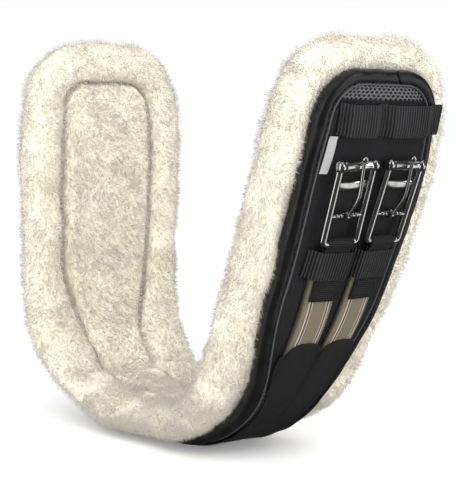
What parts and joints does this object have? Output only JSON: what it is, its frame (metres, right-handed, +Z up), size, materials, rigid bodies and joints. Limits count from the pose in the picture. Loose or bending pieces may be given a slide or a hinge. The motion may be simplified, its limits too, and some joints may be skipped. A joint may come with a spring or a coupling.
{
  "type": "saddle girth",
  "caption": "Fleece-lined padded saddle girth bent in a U, with elastic straps that carry stainless roller buckles at both ends.",
  "frame": {"origin": "middle of the bounding box in X and Y, on the flat outer face of the belly patch that the girth rests on", "axes": "+Z up, +X along the span of the U towards its more open leg, -Y the front edge of the girth"},
  "size_m": [0.4535, 0.1746, 0.3622],
  "materials": {
    "fleece_cream": "deep cream pile",
    "foam_grey": "closed-cell foam core",
    "air_mesh_grey": "dark grey spacer mesh",
    "binding_black": "smooth black binding with a soft sheen",
    "nylon_black": "matt black woven nylon",
    "webbing_black": "ribbed black webbing",
    "elastic_olive": "olive woven elastic with light and dark lines",
    "label_silver": "blank silver satin",
    "stainless_steel": "polished stainless steel"
  },
  "bodies": {
    "girth": {"belly_patch": "binding_black", "centre_cover": "nylon_black", "edge_binding": "binding_black", "fleece_edge_roll": "fleece_cream", "fleece_panel": "fleece_cream", "foam_core": "foam_grey", "front_load_web": "webbing_black", "left_billet_guide": "webbing_black", "left_front_elastic": "elastic_olive", "left_front_keeper": "webbing_black", "left_rear_elastic": "elastic_olive", "left_rear_keeper": "webbing_black", "left_wear_patch": "nylon_black", "mesh_shell": "air_mesh_grey", "rear_load_web": "webbing_black", "right_billet_guide": "webbing_black", "right_front_elastic": "elastic_olive", "right_front_keeper": "webbing_black", "right_label": "label_silver", "right_rear_elastic": "elastic_olive", "right_rear_keeper": "webbing_black", "right_wear_patch": "nylon_black"},
    "left_front_strap": {"left_front_tab": "webbing_black"},
    "left_front_buckle": {"left_front_buckle_frame": "stainless_steel"},
    "left_front_tongue": {"left_front_tongue": "stainless_steel"},
    "left_front_roller": {"left_front_roller": "stainless_steel"},
    "left_rear_strap": {"left_rear_tab": "webbing_black"},
    "left_rear_buckle": {"left_rear_buckle_frame": "stainless_steel"},
    "left_rear_tongue": {"left_rear_tongue": "stainless_steel"},
    "left_rear_roller": {"left_rear_roller": "stainless_steel"},
    "right_front_strap": {"right_front_tab": "webbing_black"},
    "right_front_buckle": {"right_front_buckle_frame": "stainless_steel"},
    "right_front_tongue": {"right_front_tongue": "stainless_steel"},
    "right_front_roller": {"right_front_roller": "stainless_steel"},
    "right_rear_strap": {"right_rear_tab": "webbing_black"},
    "right_rear_buckle": {"right_rear_buckle_frame": "stainless_steel"},
    "right_rear_tongue": {"right_rear_tongue": "stainless_steel"},
    "right_rear_roller": {"right_rear_roller": "stainless_steel"}
  },
  "joints": [
    {"name": "left_front_stretch", "type": "slide", "parent": "girth", "child": "left_front_strap", "axis": [0.0421, -0.04, 0.9983], "range_m": [0, 0.012], "stiffness_N_per_m": 2500, "deforming": ["left_front_elastic"]},
    {"name": "left_front_swing", "type": "hinge", "parent": "left_front_strap", "child": "left_front_buckle", "pos_m": [-0.21702, -0.0202, 0.20874], "axis": [-0.002, -0.9992, -0.0403], "range_deg": [0, 100]},
    {"name": "left_front_tongue_swing", "type": "hinge", "parent": "left_front_buckle", "child": "left_front_tongue", "pos_m": [-0.21632, -0.02113, 0.23171], "axis": [-0.002, -0.9992, -0.0403], "range_deg": [0, 75]},
    {"name": "left_front_roller_spin", "type": "hinge", "parent": "left_front_buckle", "child": "left_front_roller", "pos_m": [-0.21507, -0.02278, 0.27266], "axis": [-0.002, -0.9992, -0.0403], "continuous": true},
    {"name": "left_rear_stretch", "type": "slide", "parent": "girth", "child": "left_rear_strap", "axis": [0.0424, 0.04, 0.9983], "range_m": [0, 0.012], "stiffness_N_per_m": 2500, "deforming": ["left_rear_elastic"]},
    {"name": "left_rear_swing", "type": "hinge", "parent": "left_rear_strap", "child": "left_rear_buckle", "pos_m": [-0.21676, 0.0252, 0.20873], "axis": [0.002, -0.9992, 0.0403], "range_deg": [0, 100]},
    {"name": "left_rear_tongue_swing", "type": "hinge", "parent": "left_rear_buckle", "child": "left_rear_tongue", "pos_m": [-0.21605, 0.02613, 0.2317], "axis": [0.002, -0.9992, 0.0403], "range_deg": [0, 75]},
    {"name": "left_rear_roller_spin", "type": "hinge", "parent": "left_rear_buckle", "child": "left_rear_roller", "pos_m": [-0.21478, 0.02778, 0.27264], "axis": [0.002, -0.9992, 0.0403], "continuous": true},
    {"name": "right_front_stretch", "type": "slide", "parent": "girth", "child": "right_front_strap", "axis": [0.4335, -0.0393, 0.9003], "range_m": [0, 0.012], "stiffness_N_per_m": 2500, "deforming": ["right_front_elastic"]},
    {"name": "right_front_swing", "type": "hinge", "parent": "right_front_strap", "child": "right_front_buckle", "pos_m": [0.18979, -0.0202, 0.19004], "axis": [0.0155, 0.9992, 0.0355], "range_deg": [0, 100]},
    {"name": "right_front_tongue_swing", "type": "hinge", "parent": "right_front_buckle", "child": "right_front_tongue", "pos_m": [0.19817, -0.02109, 0.21144], "axis": [0.0155, 0.9992, 0.0355], "range_deg": [0, 75]},
    {"name": "right_front_roller_spin", "type": "hinge", "parent": "right_front_buckle", "child": "right_front_roller", "pos_m": [0.21309, -0.02268, 0.24959], "axis": [0.0155, 0.9992, 0.0355], "continuous": true},
    {"name": "right_rear_stretch", "type": "slide", "parent": "girth", "child": "right_rear_strap", "axis": [0.4333, 0.0393, 0.9004], "range_m": [0, 0.012], "stiffness_N_per_m": 2500, "deforming": ["right_rear_elastic"]},
    {"name": "right_rear_swing", "type": "hinge", "parent": "right_rear_strap", "child": "right_rear_buckle", "pos_m": [0.18955, 0.0252, 0.19014], "axis": [-0.0155, 0.9992, -0.0355], "range_deg": [0, 100]},
    {"name": "right_rear_tongue_swing", "type": "hinge", "parent": "right_rear_buckle", "child": "right_rear_tongue", "pos_m": [0.19792, 0.02609, 0.21155], "axis": [-0.0155, 0.9992, -0.0355], "range_deg": [0, 75]},
    {"name": "right_rear_roller_spin", "type": "hinge", "parent": "right_rear_buckle", "child": "right_rear_roller", "pos_m": [0.21283, 0.02768, 0.24971], "axis": [-0.0155, 0.9992, -0.0355], "continuous": true}
  ]
}
